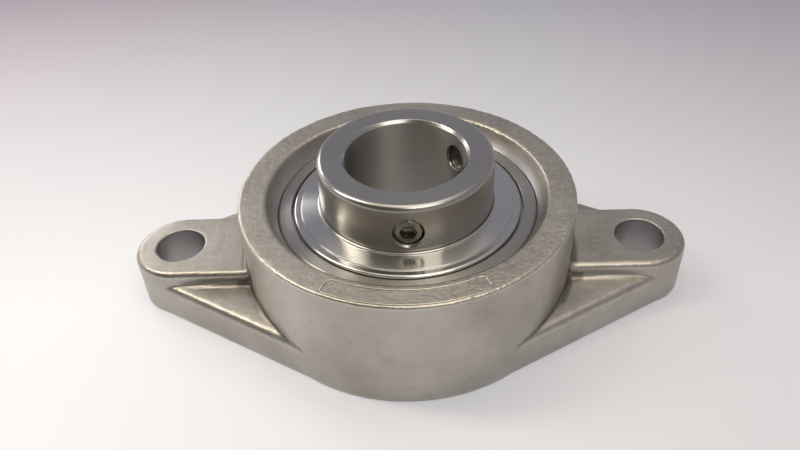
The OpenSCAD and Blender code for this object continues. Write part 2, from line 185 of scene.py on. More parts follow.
# %% Steps of a finish
def place_on(tree):
    """The place on the piece, in the piece's own coordinates."""
    return add_node(tree, "ShaderNodeTexCoord").outputs["Object"]


def noise_over(tree, places, scale, detail):
    """A soft noise over places, which mostly lies between 0.3 and 0.7."""
    return add_node(tree, "ShaderNodeTexNoise", {
        "Vector": places, "Scale": scale, "Detail": detail}).outputs["Fac"]


def spread(tree, value, low, high, to_low, to_high):
    """Carries a value from one range over to another, held at its ends."""
    ranged = add_node(tree, "ShaderNodeMapRange", {
        "Value": value, "From Min": low, "From Max": high, "To Min": to_low, "To Max": to_high})
    return ranged.outputs["Result"]


def combined(tree, operation, first, second):
    """Joins two values with one step of arithmetic."""
    return add_node(tree, "ShaderNodeMath", {0: first, 1: second}, operation=operation).outputs[0]


def blended(tree, share, first, second, mode="MIX"):
    """Mixes two colours by a share from 0 to 1. A colour is three numbers, or a socket that gives one."""
    mix = add_node(tree, "ShaderNodeMix", {"Factor": share}, data_type="RGBA", blend_type=mode)
    for socket, tone in ((6, first), (7, second)):
        fill(tree, mix, {socket: tone if isinstance(tone, bpy.types.NodeSocket) else (*tone, 1)})
    return mix.outputs[2]


def bumped(tree, height, strength, distance, under=None, **settings):
    """A surface direction that follows a height, laid over another bump where one is given."""
    inputs = {"Height": height, "Strength": strength, "Distance": distance}
    if under is not None:
        inputs["Normal"] = under
    return add_node(tree, "ShaderNodeBump", inputs, **settings).outputs["Normal"]


print("steps of a finish ready")

# %% [markdown]
# ## Studio
# The part stands on a pale sheet. A plane would do for the floor of any scene; this one is a single large
# quad, a hair's breadth below the part so that the two don't flicker through each other.

# %% Lay the floor
floor_size = 3.0
floor_drop = 0.00005

floor_mesh = bpy.data.meshes.new("floor")
half = floor_size / 2
floor_mesh.from_pydata(
    [(-half, -half, 0), (half, -half, 0), (half, half, 0), (-half, half, 0)], [], [(0, 1, 2, 3)])
floor = bpy.data.objects.new("floor", floor_mesh)
floor.location.z = -floor_drop
bpy.context.scene.collection.objects.link(floor)
print("floor", floor_size, "m wide")

# %% [markdown]
# The sheet's colour paints the light on it: bright at the left, falling off to painted shade behind and to the
# right, with a faint blush at both sides, worked out from the place on the sheet. A little glow that only the
# camera sees lifts the sheet to white without more light on the part, and what mirrors the sheet sees a fainter
# one.

# %% Tone the sheet
sheet_glow = 0.24
mirrored_glow = 0.15

sheet, tree, shader = new_finish("pale_sheet")
axes = add_node(tree, "ShaderNodeSeparateXYZ", {0: place_on(tree)}).outputs
falloff_to_back = spread(tree, axes["Y"], -0.01, 0.22, 0, 1)
falloff_to_right = spread(tree, axes["X"], -0.10, 0.16, 0, 1)
from_middle = combined(tree, "ABSOLUTE", axes["X"], 0.0)
to_side = combined(tree, "MULTIPLY", spread(tree, from_middle, 0.06, 0.26, 0, 1),
                   spread(tree, from_middle, 0.26, 0.60, 1, 0))
# painted light falloff on the sheet: bright near the front left, painted shade behind and to the right
near_painted_light = blended(tree, falloff_to_right, (0.92, 0.95, 1.0), (0.72, 0.72, 0.77))
near_painted_light = blended(tree, to_side, near_painted_light, (0.99, 0.93, 0.94), "MULTIPLY")
far_painted_shade = blended(tree, falloff_to_right, (0.415, 0.40, 0.46), (0.41, 0.42, 0.495))
far_painted_shade = blended(tree, to_side, far_painted_shade, (0.89, 0.75, 0.81), "MULTIPLY")
sheet_painted_falloff = blended(tree, falloff_to_back, near_painted_light, far_painted_shade)
ray = add_node(tree, "ShaderNodeLightPath").outputs
mirrored = combined(tree, "MAXIMUM", ray["Is Glossy Ray"], ray["Is Transmission Ray"])
glow = combined(tree, "MAXIMUM", spread(tree, ray["Is Camera Ray"], 0, 1, 0, sheet_glow),
                spread(tree, mirrored, 0, 1, 0, mirrored_glow))
fill(tree, shader, {"Base Color": sheet_painted_falloff, "Emission Color": sheet_painted_falloff, "Emission Strength": glow,
                    "Roughness": 0.6, "Specular IOR Level": 0.2})
floor_mesh.materials.append(sheet)
print("the sheet glows", sheet_glow, "for the camera and", mirrored_glow, "in what mirrors it")

# %% [markdown]
# Metal shows its surroundings more than its own colour, so the room matters as much as the lamps. It is a
# dim room with walls that are paler low down and a warm ceiling, and it is dark in front, where the camera
# stands: that dark patch is what draws the outer wall of the ring and splits the light along its edge.

# %% Shape the room
shade_azimuth = math.radians(-120)
shade_elevation = math.radians(36)
shade_centre = (math.cos(shade_azimuth) * math.cos(shade_elevation),
                math.sin(shade_azimuth) * math.cos(shade_elevation), math.sin(shade_elevation))

world = bpy.data.worlds.new("room")
world.use_nodes = True
bpy.context.scene.world = world
tree = world.node_tree
direction = add_node(tree, "ShaderNodeTexCoord").outputs["Generated"]
axes = add_node(tree, "ShaderNodeSeparateXYZ", {0: direction}).outputs
overhead = spread(tree, axes["Z"], 0.72, 0.94, 0, 1)
low_down = spread(tree, axes["Z"], 0.02, 0.22, 1, 0)
towards_shade = add_node(tree, "ShaderNodeVectorMath", {0: direction, 1: shade_centre},
                         operation="DOT_PRODUCT").outputs["Value"]
in_shade = spread(tree, towards_shade, 0.74, 0.86, 0, 1)
walls = blended(tree, low_down, (0.27, 0.265, 0.29), (0.50, 0.49, 0.50))
ceiling_tone = blended(tree, overhead, walls, (0.80, 0.72, 0.58))
room_tone = blended(tree, in_shade, ceiling_tone, (0.09, 0.085, 0.075))
fill(tree, tree.nodes["Background"], {"Color": room_tone})
print("room shaded towards", [round(c, 2) for c in shade_centre])

# %% [markdown]
# Five soft lamps light the part. A narrow window stands high at the left and gives the edges their creamy
# lines. A long low light at the back left whitens the sheet and leaves the right ear in the hub's shade. A
# pale one above it crosses the turned lines of the outer ring, a lamp in front at the right wakes the other
# half of the inner ring, and a wide one overhead evens out the flats. Each lamp is placed by its azimuth,
# elevation and distance from the part.

# %% Hang the lamps
def area_lamp(name, azimuth, elevation, distance, width, height, watts, colour):
    """A soft lamp in a direction from the part, turned to shine at it. Lengths are in millimetres."""
    turn, lift = math.radians(azimuth), math.radians(elevation)
    direction = Vector((math.cos(turn) * math.cos(lift), math.sin(turn) * math.cos(lift), math.sin(lift)))
    lamp = bpy.data.lights.new(name, "AREA")
    lamp.shape = "RECTANGLE"
    lamp.size = width * MM
    lamp.size_y = height * MM
    lamp.energy = watts
    lamp.color = colour
    holder = bpy.data.objects.new(name, lamp)
    holder.location = direction * distance * MM
    holder.rotation_euler = (-direction).to_track_quat("-Z", "Y").to_euler()
    bpy.context.scene.collection.objects.link(holder)


area_lamp("window", 175, 52, 450, 66, 260, 0.46, (1.0, 0.93, 0.80))
area_lamp("low_light", 146, 13, 620, 420, 120, 0.16, (1.0, 0.96, 0.92))
area_lamp("back_light", 131, 27, 520, 170, 110, 0.27, (1.0, 0.97, 0.92))
area_lamp("front_lamp", -63, 60, 450, 220, 190, 0.28, (1.0, 0.94, 0.84))
area_lamp("ceiling_lamp", 60, 84, 560, 300, 300, 0.24, (1.0, 0.94, 0.84))

# %% [markdown]
# ## From an outline to a turned piece
# The rings, the flingers and the nipple are all turned on a lathe, so each is one outline that is spun
# about an axis. No turned edge is quite sharp: a real one is broken by a file, and it is the thin bright
# line along such an edge that tells the eye how big the piece is. So each corner of an outline carries a
# radius, and becomes an arc that is tangent to both of its sides.

# %% Draw an outline
arc_steps = 8


def rounded(corners):
    """Outline through (across, along, radius) corners, each replaced by an arc of that radius."""
    points = []
    for i, (across, along, radius) in enumerate(corners):
        corner = np.array([across, along], float)
        if radius == 0:
            points.append(corner)
            continue
        before = np.array(corners[i - 1][:2]) - corner
        after = np.array(corners[(i + 1) % len(corners)][:2]) - corner
        before /= np.linalg.norm(before)
        after /= np.linalg.norm(after)
        half_angle = math.acos(np.clip(before @ after, -1, 1)) / 2
        middle = before + after
        centre = corner + middle / np.linalg.norm(middle) * radius / math.sin(half_angle)
        start = corner + before * radius / math.tan(half_angle) - centre
        end = corner + after * radius / math.tan(half_angle) - centre
        first = math.atan2(start[1], start[0])
        turn = (math.atan2(end[1], end[0]) - first + math.pi) % (2 * math.pi) - math.pi
        for step in range(arc_steps + 1):
            angle = first + turn * step / arc_steps
            points.append(centre + radius * np.array([math.cos(angle), math.sin(angle)]))
    return np.array(points)


def arc(centre, radius, first, last, steps):
    """Points along an arc, between two angles in degrees."""
    angles = np.radians(np.linspace(first, last, steps + 1))
    return np.column_stack([centre[0] + radius * np.cos(angles), centre[1] + radius * np.sin(angles)])


square = rounded([(0, 0, 1), (9, 0, 1), (9, 9, 1), (0, 9, 1)])
print("a square with round corners has", len(square), "points")

# %% [markdown]
# Blender has a Screw modifier that spins an outline too. Here the rows of points are spun directly, because
# then a point on the axis becomes one pole, the mesh is closed from the start, and it can be cut at once.

# %% Spin an outline
spin_steps = 240
on_axis = 1e-6


def new_piece(name, vertices, faces):
    """A smooth-shaded mesh object from points in millimetres."""
    mesh = bpy.data.meshes.new(name)
    mesh.from_pydata((np.asarray(vertices, float) * MM).tolist(), [], [tuple(f) for f in faces])
    mesh.shade_smooth()
    mesh.validate()
    piece = bpy.data.objects.new(name, mesh)
    bpy.context.scene.collection.objects.link(piece)
    return piece


def spun(name, outline, steps=spin_steps):
    """Spins a closed outline of (radius, height) points about z. Points on the axis become poles."""
    angles = 2 * math.pi * np.arange(steps) / steps
    vertices = []
    rows = []
    for radius, height in outline:
        count = 1 if radius < on_axis else steps
        rows.append([len(vertices) + i % count for i in range(steps)])
        for angle in angles[:count]:
            vertices.append((radius * math.cos(angle), radius * math.sin(angle), height))
    faces = []
    for row, following in zip(rows, rows[1:] + rows[:1]):
        for i in range(steps):
            j = (i + 1) % steps
            loop = [row[i], row[j], following[j], following[i]]
            corners = [v for n, v in enumerate(loop) if v not in loop[:n]]
            if len(corners) > 2:
                faces.append(corners)
    return new_piece(name, vertices, faces)


print("outlines are spun in", spin_steps, "steps")

# %% [markdown]
# A spun piece is cut with booleans, as a drill would cut the real one. Once it is done, it stands for its solid:
# it takes over the solid's body, so that it moves with it, and gets a finish of its own.

# %% Cut a piece and put it in place
def applied(piece):
    """Turns the shape that a piece's modifiers give into its own mesh."""
    graph = bpy.context.evaluated_depsgraph_get()
    mesh = bpy.data.meshes.new_from_object(piece.evaluated_get(graph))
    piece.modifiers.clear()
    piece.data = mesh


def shaped_by(piece, tool, operation="DIFFERENCE"):
    """Shapes one mesh by another with a boolean, and throws the tool away."""
    step = piece.modifiers.new("step", "BOOLEAN")
    step.operation = operation
    step.solver = "EXACT"
    step.object = tool
    applied(piece)
    bpy.data.objects.remove(tool)


def keep_flats(piece):
    """Lets the large faces decide how the edges beside them are shaded, so that flats look flat."""
    piece.modifiers.new("flats", "WEIGHTED_NORMAL").keep_sharp = True


body_of = {node: body for body, members in record["behaviour"]["bodies"].items() for node in members}
slot_of = {part["node"]: part["material_slot"] for part in record["subparts"]}


def put_in_place(piece, node, finish):
    """Lets a finished mesh stand for its solid: it takes the finish and rides on the solid's body."""
    piece.data.materials.clear()
    piece.data.materials.append(finish)
    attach(piece, body_of[node])
    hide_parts(node)
    print(piece.name, "rides on", body_of[node], "with", len(piece.data.polygons), "faces")


print("bodies to ride on:", len(set(body_of.values())))

# %% [markdown]
# ## The casting as a distance field
# The housing is cast in one piece, so every wall runs into the next with a fillet and every edge is round.
# Bevels and booleans on a mesh break down where several fillets meet. A signed distance field doesn't: the
# shape is a formula that says how far a point is from the metal, negative inside. Two shapes are joined
# with a fillet, or cut with a rounded edge, by one line each.

# %% Blend shapes in the field
def joined(a, b, fillet):
    """Union of two distances, with a round fillet in the corner between them."""
    corner = np.hypot(np.maximum(fillet - a, 0), np.maximum(fillet - b, 0))
    return np.maximum(fillet, np.minimum(a, b)) - corner


def trimmed(a, b, rounding):
    """Part of one shape that lies inside the other, with the edge between them rounded."""
    edge = np.hypot(np.maximum(rounding + a, 0), np.maximum(rounding + b, 0))
    return np.minimum(-rounding, np.maximum(a, b)) + edge


def flange_side(x, y):
    """Distance to the oval outline: tangent lines from the hub's circle to the ears' circles."""
    across, along = np.abs(y), np.abs(x)
    lean = (hub_r - ear_r) / bolt_offset
    rise = math.sqrt(1 - lean ** 2)
    side = across * rise + along * lean - hub_r
    reach = along * rise - across * lean
    ear = np.hypot(across, along - bolt_offset) - ear_r
    return np.where(reach < 0, np.hypot(across, along) - hub_r,
                    np.where(reach > rise * bolt_offset, ear, side))


def pad_side(x, y):
    """Distance to the outline of the pads: a straight bar with round ends on the bolt holes."""
    return np.hypot(np.maximum(np.abs(x) - bolt_offset, 0), y) - ear_r


web_depth = -float(flange_side(bolt_offset / 2, 0))
print("half-way along a web the outline lies", round(web_depth, 2), "mm away")

# %% [markdown]
# The casting's own sizes come next. The housing's box gives the hub and the ears; heights, fillets and
# flares are set here. Castings are never quite even, so the rounding of the rim and of the mouth wavers a
# little around the hub.

# %% Size the casting
pad_height = 15.0
pad_rounding = 1.6
pad_fillet = 1.5
web_height = 11.0
web_step = 0.2
web_rounding = 1.9
web_crease = 0.3
web_band = 3.0
web_band_slope = 0.16
hub_fillet = 1.5
hub_wall_drop = 5
rim_rounding = 0.65
rim_unevenness = 0.4
foot_rounding = 0.6
lead_flare = 1.8
lead_height = 2.0
lead_fillet = 0.8
mouth_flare = 1.1
mouth_rounding = 0.4
mouth_unevenness = 0.6
back_flare = 1.2
seat_clearance = 0.05
seat_drop = 0.5
seat_rounding = 0.3
slot_clearance = 0.6
hole_rounding = 0.2
cut_over = 1

hub_wall_top = hub_height - hub_wall_drop
seat_r = insert_r + seat_clearance
seat_half = ring_half - seat_drop
seat_edge_r = math.sqrt(seat_r ** 2 - seat_half ** 2)
mouth_edge = ball_height + seat_half
lead_slope = lead_flare / lead_height
mouth_slope = mouth_flare / (hub_height - mouth_edge - lead_height)
back_edge = ball_height - seat_half
back_slope = back_flare / back_edge
slot_r = seat_r + slot_clearance
slot_half_width = ring_half + slot_clearance

nipple_low, nipple_high = box_mm("grease_nipple")
grease_height = (nipple_low[2] + nipple_high[2]) / 2
spot_depth = 0.6
spot_r = 5.04
tapped_r = 3.02
tapped_start = nipple_low[1]
print("the seat opens", round(2 * seat_edge_r, 2), "mm wide,", round(mouth_edge, 2), "mm up")

# %% [markdown]
# The casting itself follows the order in which a pattern maker would think of it: a hub, two webs that lean
# against it, two raised pads on the webs, then the bearing's seat, the bevelled mouth, the recess and
# filling slots behind the seat, the bolt holes and the spot for the grease nipple.

# %% Describe the casting
rim_waves = ((5, 0.4), (11, 2.1), (23, 4.0), (41, 1.3), (67, 5.2), (97, 0.9))
mouth_waves = ((7, 1.9), (17, 0.2), (29, 3.3), (53, 2.7), (83, 4.4))


def waver(angle, waves):
    """Slow uneven change around the hub, between about -1 and 1."""
    return sum(np.sin(count * angle + shift) for count, shift in waves) / len(waves)


def casting(x, y, z):
    """Distance from the surface of the casting, in millimetres."""
    across = np.hypot(x, y)
    angle = np.arctan2(y, x)
    hub_side = across - hub_r
    hub_wall = np.maximum(hub_side, z - hub_wall_top)
    plain_pads = trimmed(pad_side(x, y), z - pad_height, pad_rounding)
    pads = trimmed(pad_side(x, y), joined(z - pad_height, hub_wall, hub_fillet), pad_rounding)
    web_top = joined(joined(z - web_height, plain_pads, pad_fillet), hub_wall, hub_fillet)
    flange = flange_side(x, y) + web_step
    web_bevel = (z - web_height + web_band_slope * (flange + web_band)) / math.hypot(1, web_band_slope)
    webs = trimmed(flange, trimmed(web_top, web_bevel, web_crease), web_rounding)
    rim_edge = rim_rounding * (1 + rim_unevenness * waver(angle, rim_waves))
    hub = trimmed(hub_side, z - hub_height, rim_edge)
    metal = trimmed(np.minimum(np.minimum(pads, webs), hub), -z, foot_rounding)

    lead = (across - seat_edge_r - lead_slope * (z - mouth_edge)) / math.hypot(1, lead_slope)
    flare_r = seat_edge_r + lead_flare + mouth_slope * (z - mouth_edge - lead_height)
    flare = (across - flare_r) / math.hypot(1, mouth_slope)
    mouth = np.maximum(trimmed(lead, flare, lead_fillet), mouth_edge - cut_over - z)
    recess = (across - seat_edge_r - back_slope * (back_edge - z)) / math.hypot(1, back_slope)
    recess = np.maximum(recess, z - back_edge - cut_over)
    slots = np.maximum(np.maximum(np.abs(y) - slot_half_width, across - slot_r), z - ball_height)
    seat = np.hypot(across, z - ball_height) - seat_r
    mouth_lip = mouth_rounding * (1 + mouth_unevenness * waver(angle, mouth_waves))
    metal = trimmed(metal, -mouth, mouth_lip)
    for space in (recess, slots, seat):
        metal = trimmed(metal, -space, seat_rounding)

    bolt_holes = np.hypot(np.abs(x) - bolt_offset, y) - bolt_hole_r
    metal = trimmed(metal, -bolt_holes, hole_rounding)
    nipple_line = np.hypot(x, z - grease_height)
    spot = np.maximum(nipple_line - spot_r, hub_r - spot_depth - y)
    tapped = np.maximum(nipple_line - tapped_r, tapped_start - y)
    return np.maximum(np.maximum(metal, -spot), -tapped)


probe_depth = 2
rim_middle_r = (hub_r + seat_edge_r + lead_flare + mouth_flare) / 2
rim_reading = float(casting(0.0, -rim_middle_r, hub_height - probe_depth))
print(probe_depth, "mm below the middle of the rim the field reads", round(rim_reading, 2), "mm")

# %% [markdown]
# A mesh is drawn over the field with surface nets: the space is divided into small cubes, every cube that
# the surface passes through gets one point, and every grid edge that crosses the surface gets one quad
# between the four cubes around it. It is the same idea as Blender's Volume to Mesh, but it keeps quads and
# lets the points be set exactly.

# %% Points and quads of a net
cube_corners = [(i, j, k) for i in (0, 1) for j in (0, 1) for k in (0, 1)]
cube_edges = [(a, b) for a in cube_corners for b in cube_corners
              if sum(b) - sum(a) == 1 and sum(m != n for m, n in zip(a, b)) == 1]


def cross_points(values, cells, lows, step):
    """One point for each cube in a list, at the middle of the places where its edges cross the surface."""
    total = np.zeros((len(cells), 3))
    hits = np.zeros(len(cells))
    for first, second in cube_edges:
        start = values[tuple((cells + first).T)]
        end = values[tuple((cells + second).T)]
        crosses = (start < 0) != (end < 0)
        share = np.where(crosses, start / np.where(crosses, start - end, 1), 0)
        place = np.array(first) + share[:, None] * (np.array(second) - first)
        total += np.where(crosses[:, None], place, 0)
        hits += crosses
    return lows + step * (cells + total / hits[:, None])


def net_quads(inside, number):
    """Quads around every grid edge that crosses the surface, turned to face outwards."""
    quads = []
    for axis in range(3):
        ahead = np.roll(inside, -1, axis)
        crossing = np.argwhere(inside != ahead)
        crossing = crossing[(crossing > 0).all(1) & (crossing < np.array(inside.shape) - 1).all(1)]
        side, up = np.eye(3, dtype=int)[(axis + 1) % 3], np.eye(3, dtype=int)[(axis + 2) % 3]
        ring = np.stack([number[tuple((crossing - move).T)] for move in (side * 0, side, side + up, up)], 1)
        outward = inside[tuple(crossing.T)]
        quads.append(np.where(outward[:, None], ring, ring[:, ::-1]))
    return np.concatenate(quads)


print("a cube has", len(cube_edges), "edges to look along")

# %% [markdown]
# The points are then pulled along the field's slope until they lie on the surface, and slid sideways
# towards their neighbours so that the quads are even. Blender's Smooth modifier evens out quads as well,
# but it would shrink the fillets. A slide along the surface leaves the shape alone.

# %% Skin a field
slope_reach = 0.01
least_slope = 1e-6
slide_share = 0.5
slides = 3
pulls = 2
slabs = 12


def slope(field, points):
    """Direction in which the field rises fastest, at each point."""
    rises = []
    for axis in range(3):
        move = np.zeros(3)
        move[axis] = slope_reach
        rises.append(field(*(points + move).T) - field(*(points - move).T))
    rises = np.stack(rises, 1) / (2 * slope_reach)
    return rises / np.maximum(np.linalg.norm(rises, axis=1, keepdims=True), least_slope)


def neighbour_mean(points, quads):
    """Mean place of the neighbours of each point along the quads' edges."""
    total = np.zeros_like(points)
    count = np.zeros(len(points))
    for a, b in ((0, 1), (1, 2), (2, 3), (3, 0)):
        for here, there in ((a, b), (b, a)):
            for axis in range(3):
                total[:, axis] += np.bincount(quads[:, here], points[quads[:, there], axis], len(points))
            count += np.bincount(quads[:, here], minlength=len(points))
    return total / np.maximum(count, 1)[:, None]


def skinned(field, low, high, step):
    """Points and quads of the surface of a distance field, inside a box."""
    lows = np.array(low, float) - 2 * step
    ticks = [np.arange(lows[i], high[i] + 3 * step, step) for i in range(3)]
    values = np.concatenate([field(*np.meshgrid(slab, ticks[1], ticks[2], indexing="ij"))
                             for slab in np.array_split(ticks[0], slabs)])
    inside = values < 0
    ends = [len(tick) - 1 for tick in ticks]
    filled = sum(inside[i:ends[0] + i, j:ends[1] + j, k:ends[2] + k].astype(np.int8)
                 for i, j, k in cube_corners)
    cells = np.argwhere((filled > 0) & (filled < len(cube_corners)))
    number = np.full(inside.shape, -1)
    number[tuple(cells.T)] = np.arange(len(cells))
    points = cross_points(values, cells, lows, step)
    quads = net_quads(inside, number)
    for turn in range(slides):
        rise = slope(field, points)
        drift = neighbour_mean(points, quads) - points
        drift -= rise * (drift * rise).sum(1, keepdims=True)
        points = points + slide_share * drift
        for pull in range(pulls):
            points = points - field(*points.T)[:, None] * slope(field, points)
    return points, quads


casting_step = 0.44
points, quads = skinned(casting, housing_low, housing_high, casting_step)
outward = slope(casting, points)
print("casting:", len(points), "points,", len(quads), "quads")

# %% [markdown]
# The mounting face, the seat, its bevel and the bolt holes are machined, so they stay true. A point that sticks
# out from its neighbours lies on an edge, and one that sinks in lies in a corner. A shader can ask for pointiness
# too, but that comes too late to shape the mesh. So all three are worked out here and kept as shares from 0 to 1,
# for the wear of the skin and for the finish. In the finish, the edges also get a painted highlight and the corner
# at the hub's foot gets painted shade.

# %% Find edges, corners and machined places
face_band = 0.4
hole_band = 0.05
hole_edge_band = 1
bevel_fade = 0.8
edge_bulge = 0.05
foot_sink = 0.03
foot_inside = 0.5
foot_outside = 4
foot_lowest = 1

across = np.hypot(points[:, 0], points[:, 1])
from_hole = np.hypot(np.abs(points[:, 0]) - bolt_offset, points[:, 1])
bevel_share = np.clip((mouth_edge + lead_height - points[:, 2]) / bevel_fade, 0, 1)
true_face = (points[:, 2] < face_band) | (from_hole < bolt_hole_r + hole_band)
machined = np.where(true_face, 1, np.where(across < seat_edge_r + lead_flare, bevel_share, 0))
sticks_out = -((neighbour_mean(points, quads) - points) * outward).sum(1)
off_holes = from_hole > bolt_hole_r + hole_edge_band
# edges, which are worn and also carry a painted highlight in the finish
edge_share = (1 - machined) * off_holes * np.clip(sticks_out / edge_bulge, 0, 1)
# the corner at the hub's foot, which the finish darkens with painted shade
at_foot = (across > hub_r - foot_inside) & (across < hub_r + foot_outside) & (points[:, 2] > foot_lowest)
foot_share = at_foot * np.clip(-sticks_out / foot_sink, 0, 1)
on_edges, in_foot = (int((share > 0.5).sum()) for share in (edge_share, foot_share))
print("points on edges:", on_edges, "and in the corner at the hub's foot:", in_foot)

# %% [markdown]
# The cast skin is satin and a little uneven, with soft dimples a few millimetres wide, and its edges are
# worn unevenly by tumbling and sanding. A displacement texture could do it too, but here the points are
# sunk directly, so that the skin only ever goes inwards and the casting keeps its size. The shares are
# spread out a little and stored with the mesh, where the finish finds them by name.

# %% Wear the skin
dimple_depth = 0.04
dimple_size = 3.6
grain_depth = 0.014
grain_size = 1.1
edge_wear = 0.14
wear_size = 1.0
share_spreading = 4
share_names = ("edge_share", "foot_share", "machined")

dimples = np.array([noise.fractal(Vector(p / dimple_size), 1.0, 2.0, 3) for p in points])
grain = np.array([noise.noise(Vector(p / grain_size)) for p in points])
wear = np.array([noise.fractal(Vector(p / wear_size), 0.8, 2.0, 2) for p in points])
sunk = dimple_depth * np.clip(0.5 + dimples, 0, 1.5) + grain_depth * (0.5 + grain)
sunk = (1 - machined) * sunk + edge_wear * edge_share * np.clip(0.4 + wear, 0, 1.2)
housing = new_piece("housing_casting", points - outward * sunk[:, None], quads)
shares = np.column_stack([edge_share, foot_share, machined])
for turn in range(share_spreading):
    shares = (shares + neighbour_mean(shares, quads)) / 2
for name, values in zip(share_names, shares.T):
    stored = housing.data.attributes.new(name, "FLOAT", "POINT")
    stored.data.foreach_set("value", np.ascontiguousarray(values, np.float32))
print("the skin is sunk by", round(float(sunk.mean()), 3), "mm on average")

# %% [markdown]
# The finish follows the making, so it starts with what each place has been through. The flats that face up
# were rubbed on a belt, the top of the rim was struck and blasted, and the stored shares tell edges, the
# corner at the hub's foot and machined places. Noises over the casting give the marks; a noise over
# squeezed places runs in lines.

# %% Find what each place has been through
struck_from = hub_height - 1.2
struck_fully = hub_height - 0.3

cast_satin, tree, shader = new_finish("cast_satin_stainless")
place = place_on(tree)
normal = add_node(tree, "ShaderNodeNewGeometry").outputs["Normal"]
facing_up = add_node(tree, "ShaderNodeSeparateXYZ", {0: normal}).outputs["Z"]
height = add_node(tree, "ShaderNodeSeparateXYZ", {0: place}).outputs["Z"]
rubbed = spread(tree, facing_up, 0.80, 0.97, 0, 1)
on_rim = spread(tree, height, struck_from * MM, struck_fully * MM, 0, 1)
edges, foot, smooth = (add_node(tree, "ShaderNodeAttribute", attribute_name=name).outputs["Fac"]
                       for name in share_names)


def squeezed(shares):
    """Places on the casting, squeezed along the axes."""
    return add_node(tree, "ShaderNodeVectorMath", {0: place, 1: shares}, operation="MULTIPLY").outputs[0]


clouds = noise_over(tree, place, 50, 5)
spots = noise_over(tree, place, 230, 3)
specks = noise_over(tree, place, 1500, 3)
peened = noise_over(tree, place, 850, 2)
belt_lines = noise_over(tree, squeezed((0.035, 1, 0.3)), 2400, 3)
nicks = noise_over(tree, squeezed((0.3, 1, 1)), 1900, 1)
print("fields of the casting:", len(tree.nodes), "nodes")

# %% [markdown]
# Cloudy tones and soft dark spots are the blasted skin. Fine straight lines along the flange and a few short
# bright nicks come from the belt, and bright flecks on the rim from the blasting. Machined places are a neutral
# grey. The corner at the hub's foot is darkened with painted shade, and the rubbed edges get a bright, warm
# painted highlight on top of their real wear. Each is one layer of colour, laid over the one before by its share.

# %% Colour the casting
belted = combined(tree, "MULTIPLY", spread(tree, belt_lines, 0.30, 0.72, 0, 0.4), rubbed)
nicked = combined(tree, "MULTIPLY", spread(tree, nicks, 0.70, 0.78, 0, 0.7), rubbed)
struck = combined(tree, "MULTIPLY", spread(tree, peened, 0.40, 0.70, 0.13, 0.55), on_rim)
layers = (
    (spread(tree, spots, 0.56, 0.72, 0, 0.30), (0.32, 0.295, 0.265)),
    (spread(tree, specks, 0.45, 0.75, 0, 0.30), (0.66, 0.63, 0.58)),
    (belted, (0.66, 0.63, 0.59)),
    (nicked, (0.80, 0.78, 0.72)),
    (struck, (0.74, 0.70, 0.62)),
    (spread(tree, smooth, 0, 1, 0, 0.7), (0.58, 0.58, 0.60)),
    # painted shade in the corner at the hub's foot
    (spread(tree, foot, 0.05, 0.5, 0, 0.75), (0.17, 0.15, 0.125)),
    # painted highlight, bright and warm, on the worn edges
    (spread(tree, edges, 0.08, 0.6, 0, 0.36), (0.80, 0.73, 0.61)),
)
skin = blended(tree, spread(tree, clouds, 0.3, 0.7, 0, 1), (0.38, 0.352, 0.32), (0.575, 0.545, 0.505))
for share, tone in layers:
    skin = blended(tree, share, skin, tone)
print("layers of colour:", len(layers))

# %% [markdown]
# Edges and machined places are smoother than the skin. The finest marks are bumps, one laid over the other:
# the grain of the skin, the blasted rim, the belt's lines, and the nicks, which go inwards. A bump moves no
# points and only turns the light, which is enough for marks this fine.

# %% Roughen the casting
dull = spread(tree, specks, 0.3, 0.7, 0.36, 0.48)
dull = combined(tree, "SUBTRACT", dull, spread(tree, edges, 0.08, 0.6, 0, 0.06))
dull = combined(tree, "SUBTRACT", dull, spread(tree, smooth, 0, 1, 0, 0.08))
skin_grain = bumped(tree, specks, spread(tree, smooth, 0, 0.6, 0.40, 0), 0.00012)
peening = bumped(tree, peened, spread(tree, on_rim, 0, 1, 0, 0.55), 0.00022, skin_grain)
rubbing = bumped(tree, belt_lines, spread(tree, rubbed, 0, 1, 0, 0.36), 0.00010, peening)
nicking = bumped(tree, nicked, 0.4, 0.00010, rubbing, invert=True)
fill(tree, shader, {"Base Color": skin, "Roughness": dull, "Normal": nicking, "Metallic": 1.0})
put_in_place(housing, "housing", cast_satin)

# %% [markdown]
# On the front of the rim the pattern has a low bead around a bare panel, with the same bow as the rim. The
# bead is thinner than the casting's grid, so it is a piece of its own. Its path is a box with rounded
# corners in (around, across) coordinates, divided evenly and bent round the hub.

# %% Lay out the bare panel
panel_half_angle = math.radians(27.3)
panel_inner_r = 39.3
panel_outer_r = 44.0
panel_corner = 1.3
bead_steps = 420

panel_mid_r = (panel_inner_r + panel_outer_r) / 2
half_length = panel_mid_r * panel_half_angle
half_width = (panel_outer_r - panel_inner_r) / 2
straight = rounded([(half_length, -half_width, panel_corner), (half_length, half_width, panel_corner),
                    (-half_length, half_width, panel_corner), (-half_length, -half_width, panel_corner)])
loop = np.concatenate([straight, straight[:1]])
travel = np.concatenate([[0], np.cumsum(np.linalg.norm(np.diff(loop, axis=0), axis=1))])
stops = np.linspace(0, travel[-1], bead_steps, endpoint=False)
around, outwards = (np.interp(stops, travel, loop[:, axis]) for axis in (0, 1))
turns = around / panel_mid_r - math.pi / 2
path = np.column_stack([(panel_mid_r + outwards) * np.cos(turns), (panel_mid_r + outwards) * np.sin(turns)])
ahead = np.roll(path, -1, 0) - np.roll(path, 1, 0)
ahead /= np.linalg.norm(ahead, axis=1, keepdims=True)
print("bead length", round(travel[-1], 1), "mm")

# %% [markdown]
# A small round section is swept along that path, half sunk in the rim. A curve with a bevel would give an even
# bead; with its sections laid one by one, its thickness can wander a little, as a cast one does.

# %% Sweep the bead
bead_r = 0.32
bead_sunk = 0.06
bead_sides = 10
bead_wander = ((0.22, 1.7, 0), (0.12, 0.7, 3))
bead_wear_and_highlight = 0.5

